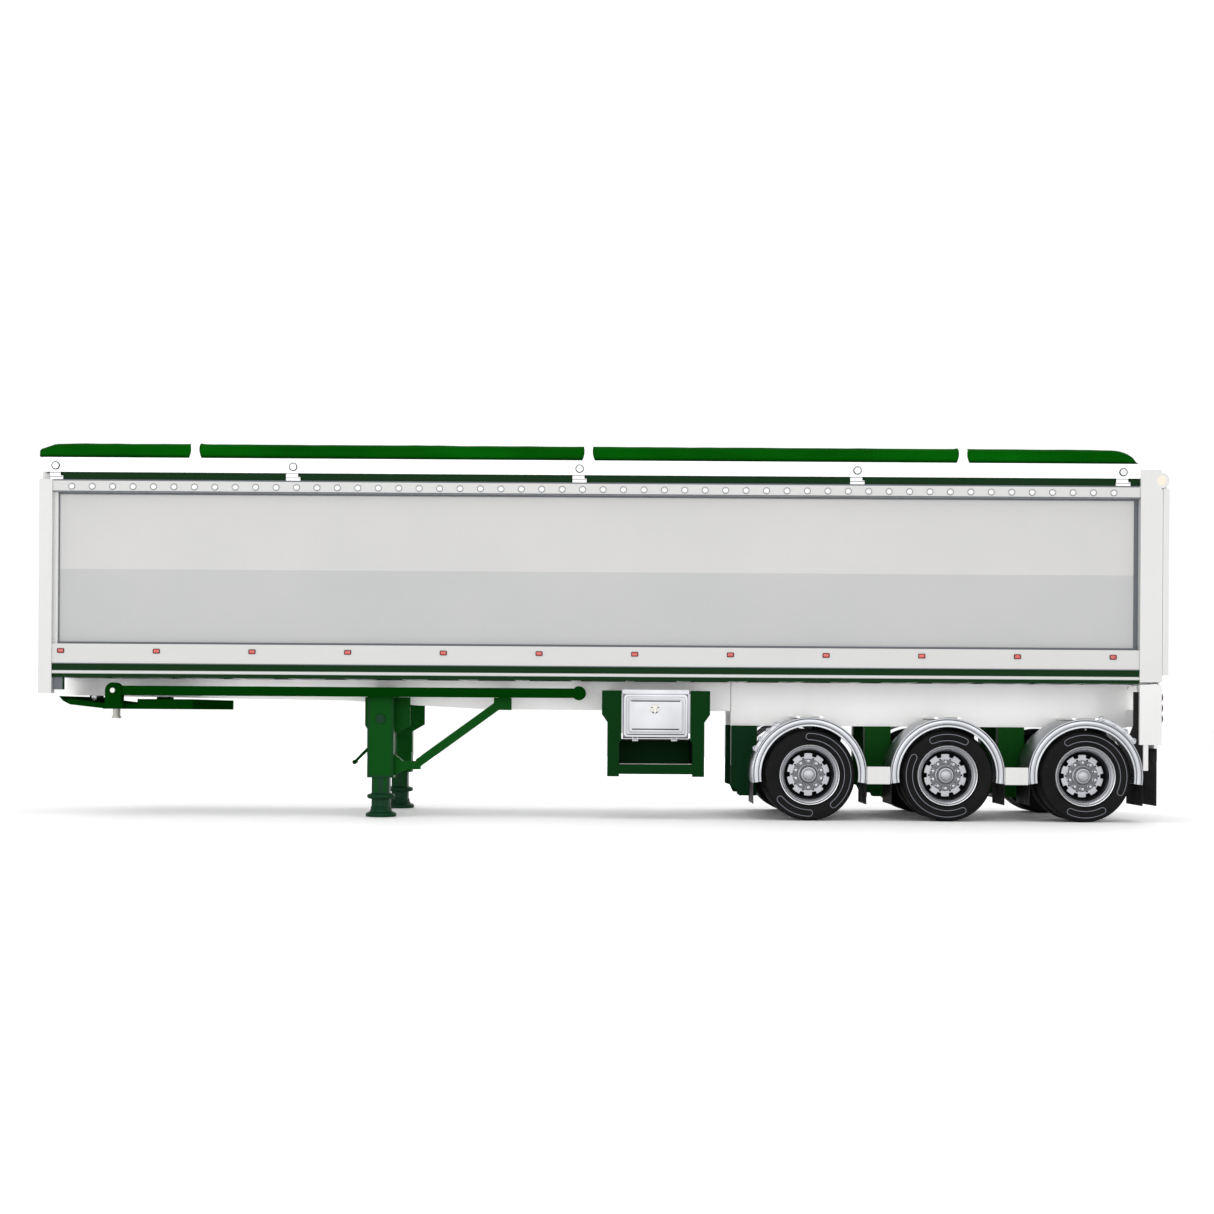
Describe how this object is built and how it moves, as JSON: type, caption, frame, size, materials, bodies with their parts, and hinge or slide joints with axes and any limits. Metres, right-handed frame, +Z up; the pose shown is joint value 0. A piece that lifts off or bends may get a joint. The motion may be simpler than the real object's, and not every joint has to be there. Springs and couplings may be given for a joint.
{
  "type": "grain semi-trailer",
  "caption": "End-tipping grain semi-trailer with smooth sides, roll-over tarp, draft arms to a kingpin coupler, telescopic hoist, landing legs and a tri-axle bogie.",
  "frame": {"origin": "middle of the footprint on the ground", "axes": "+X runs rearwards to the tailgate, -X to the coupler, +Z up; the tool box is on the -Y side"},
  "size_m": [12.77, 2.5, 4.29],
  "materials": {
    "green_paint": "gloss enamel, dark green",
    "green_hanger_paint": "satin enamel, blue-green",
    "white_paint": "gloss enamel on steel, white",
    "white_alloy": "gloss enamel on aluminium, white",
    "green_alloy": "gloss enamel on aluminium, dark green",
    "panel_upper": "painted hollow plank, warm light grey",
    "panel_lower": "painted hollow plank, cool light grey",
    "alloy_rail": "mill-finished alloy extrusion",
    "polished_alloy": "polished",
    "zinc_steel": "zinc plated",
    "lamp_red": "moulded red lens",
    "tarp_green": "coated polyester tarpaulin",
    "black_rubber": "moulded",
    "tyre_rubber": "matt black",
    "chassis_steel": "black chassis paint",
    "chromed_rod": "hard chromed"
  },
  "bodies": {
    "bogie": {"bogie_frame": "white_paint", "suspension_hangers": "green_hanger_paint", "rear_bumper": "white_paint", "mudguards": "polished_alloy", "mudguard_bridges": "white_alloy", "mudflaps": "black_rubber", "tail_lamps": "lamp_red", "air_springs_1": "black_rubber", "air_springs_2": "black_rubber", "air_springs_3": "black_rubber"},
    "tub": {"front_wall": "white_alloy", "floor_and_bearers": "alloy_rail", "side_panels_lower": "panel_lower", "side_panels_upper": "panel_upper", "bottom_rails": "alloy_rail", "rub_rails_and_top_chords": "green_alloy", "rub_rail_beads": "alloy_rail", "button_rails": "alloy_rail", "tie_down_buttons": "alloy_rail", "coaming_boards_and_bows": "white_alloy", "tarp_straps_and_clamps": "white_alloy", "marker_lamps": "lamp_red", "corner_posts": "white_alloy", "tarp": "tarp_green", "tub_rails": "white_paint", "draft_arm_shaft": "green_paint", "landing_leg_housings": "green_paint", "tool_box_cradle": "green_paint", "tool_box": "polished_alloy"},
    "tool_box_door": {"tool_box_door": "polished_alloy"},
    "tool_box_latch": {"tool_box_latch": "zinc_steel"},
    "landing_leg_left": {"landing_leg_left": "green_paint"},
    "landing_leg_right": {"landing_leg_right": "green_paint"},
    "landing_crank": {"landing_crank": "green_paint"},
    "tailgate": {"tailgate": "white_alloy"},
    "grain_door": {"grain_door": "polished_alloy"},
    "tailgate_hooks": {"tailgate_hooks": "zinc_steel"},
    "draft_arms": {"draft_arms": "green_paint"},
    "coupler": {"coupler_plate": "green_paint", "kingpin": "zinc_steel"},
    "hoist_barrel": {"hoist_barrel": "chassis_steel"},
    "hoist_stage_1": {"hoist_stage_1": "chromed_rod"},
    "hoist_stage_2": {"hoist_stage_2": "chromed_rod"},
    "hoist_stage_3": {"hoist_stage_3": "chromed_rod"},
    "hoist_stage_4": {"hoist_stage_4": "chromed_rod"},
    "axle_1": {"axle_1": "chassis_steel"},
    "wheel_1_left": {"tyres_1_left": "tyre_rubber", "wheels_1_left": "polished_alloy"},
    "wheel_1_right": {"tyres_1_right": "tyre_rubber", "wheels_1_right": "polished_alloy"},
    "axle_2": {"axle_2": "chassis_steel"},
    "wheel_2_left": {"tyres_2_left": "tyre_rubber", "wheels_2_left": "polished_alloy"},
    "wheel_2_right": {"tyres_2_right": "tyre_rubber", "wheels_2_right": "polished_alloy"},
    "axle_3": {"axle_3": "chassis_steel"},
    "wheel_3_left": {"tyres_3_left": "tyre_rubber", "wheels_3_left": "polished_alloy"},
    "wheel_3_right": {"tyres_3_right": "tyre_rubber", "wheels_3_right": "polished_alloy"}
  },
  "joints": [
    {"name": "tub_tip", "type": "hinge", "parent": "bogie", "child": "tub", "pos_m": [6.27, 0, 1.5], "axis": [0, 1, 0], "range_deg": [0, 40]},
    {"name": "draft_arm_swing", "type": "hinge", "parent": "tub", "child": "draft_arms", "pos_m": [-0.275, 0, 1.425], "axis": [0, 1, 0], "range_deg": [-93.77, 0.5]},
    {"name": "coupler_pitch", "type": "hinge", "parent": "draft_arms", "child": "coupler", "pos_m": [-5.546, 0, 1.425], "axis": [0, 1, 0], "range_deg": [-0.5, 53.77]},
    {"name": "hoist_swing", "type": "hinge", "parent": "tub", "child": "hoist_barrel", "pos_m": [-6.08, 0, 1.5], "axis": [0, 1, 0], "range_deg": [-45.53, 0.5]},
    {"name": "hoist_extend_1", "type": "slide", "parent": "hoist_barrel", "child": "hoist_stage_1", "axis": [0, 0, -1], "range_m": [-0.002, 1.99543]},
    {"name": "hoist_extend_2", "type": "slide", "parent": "hoist_stage_1", "child": "hoist_stage_2", "axis": [0, 0, -1], "range_m": [-0.002, 1.99543]},
    {"name": "hoist_extend_3", "type": "slide", "parent": "hoist_stage_2", "child": "hoist_stage_3", "axis": [0, 0, -1], "range_m": [-0.002, 1.99543]},
    {"name": "hoist_extend_4", "type": "slide", "parent": "hoist_stage_3", "child": "hoist_stage_4", "axis": [0, 0, -1], "range_m": [-0.002, 1.99543]},
    {"name": "tailgate_swing", "type": "hinge", "parent": "tub", "child": "tailgate", "pos_m": [6.296, 0, 3.87], "axis": [0, -1, 0], "range_deg": [0, 60]},
    {"name": "grain_door_slide", "type": "slide", "parent": "tailgate", "child": "grain_door", "axis": [0, 0, 1], "range_m": [0, 0.34]},
    {"name": "hook_release", "type": "hinge", "parent": "tub", "child": "tailgate_hooks", "pos_m": [6.18, 0, 1.6], "axis": [0, 1, 0], "range_deg": [0, 30]},
    {"name": "landing_crank_turn", "type": "hinge", "parent": "tub", "child": "landing_crank", "pos_m": [-2.58997, 0, 0.9], "axis": [0, 1, 0], "range_deg": [0, 4950]},
    {"name": "leg_slide_left", "type": "slide", "parent": "tub", "child": "landing_leg_left", "axis": [0, 0, 1], "range_m": [-0.0005, 0.166]},
    {"name": "leg_slide_right", "type": "slide", "parent": "tub", "child": "landing_leg_right", "axis": [0, 0, 1], "range_m": [-0.0005, 0.166]},
    {"name": "tool_box_door_hinge", "type": "hinge", "parent": "tub", "child": "tool_box_door", "pos_m": [0.587, -1.2, 0.897], "axis": [1, 0, 0], "range_deg": [0, 95]},
    {"name": "tool_box_latch_turn", "type": "hinge", "parent": "tool_box_door", "child": "tool_box_latch", "pos_m": [0.588, -1.2, 1.253], "axis": [0, -1, 0], "range_deg": [0, 90]},
    {"name": "axle_1_swing", "type": "hinge", "parent": "bogie", "child": "axle_1", "pos_m": [1.7, 0, 0.42], "axis": [0, 1, 0], "range_deg": [0, 5], "stiffness_Nm_per_rad": 20000, "deforming": ["air_springs_1"]},
    {"name": "wheel_1_left_spin", "type": "hinge", "parent": "axle_1", "child": "wheel_1_left", "pos_m": [2.34, 0, 0.52], "axis": [0, 1, 0], "continuous": true},
    {"name": "wheel_1_right_spin", "type": "hinge", "parent": "axle_1", "child": "wheel_1_right", "pos_m": [2.34, 0, 0.52], "axis": [0, 1, 0], "continuous": true},
    {"name": "axle_2_swing", "type": "hinge", "parent": "bogie", "child": "axle_2", "pos_m": [3.26, 0, 0.42], "axis": [0, 1, 0], "range_deg": [0, 5], "stiffness_Nm_per_rad": 20000, "deforming": ["air_springs_2"]},
    {"name": "wheel_2_left_spin", "type": "hinge", "parent": "axle_2", "child": "wheel_2_left", "pos_m": [3.9, 0, 0.52], "axis": [0, 1, 0], "continuous": true},
    {"name": "wheel_2_right_spin", "type": "hinge", "parent": "axle_2", "child": "wheel_2_right", "pos_m": [3.9, 0, 0.52], "axis": [0, 1, 0], "continuous": true},
    {"name": "axle_3_swing", "type": "hinge", "parent": "bogie", "child": "axle_3", "pos_m": [4.82, 0, 0.42], "axis": [0, 1, 0], "range_deg": [0, 5], "stiffness_Nm_per_rad": 20000, "deforming": ["air_springs_3"]},
    {"name": "wheel_3_left_spin", "type": "hinge", "parent": "axle_3", "child": "wheel_3_left", "pos_m": [5.46, 0, 0.52], "axis": [0, 1, 0], "continuous": true},
    {"name": "wheel_3_right_spin", "type": "hinge", "parent": "axle_3", "child": "wheel_3_right", "pos_m": [5.46, 0, 0.52], "axis": [0, 1, 0], "continuous": true}
  ],
  "couplings": [
    {"joint": "draft_arm_swing", "follows": "tub_tip", "ratio": -2.3318},
    {"joint": "coupler_pitch", "follows": "tub_tip", "ratio": 1.3318},
    {"joint": "hoist_swing", "follows": "tub_tip", "ratio": -1.1258},
    {"joint": "hoist_extend_1", "follows": "tub_tip", "m_per_rad": 2.854},
    {"joint": "hoist_extend_2", "follows": "tub_tip", "m_per_rad": 2.854},
    {"joint": "hoist_extend_3", "follows": "tub_tip", "m_per_rad": 2.854},
    {"joint": "hoist_extend_4", "follows": "tub_tip", "m_per_rad": 2.854},
    {"joint": "leg_slide_left", "follows": "landing_crank_turn", "m_per_rad": 0.0019099},
    {"joint": "leg_slide_right", "follows": "landing_crank_turn", "m_per_rad": 0.0019099}
  ]
}
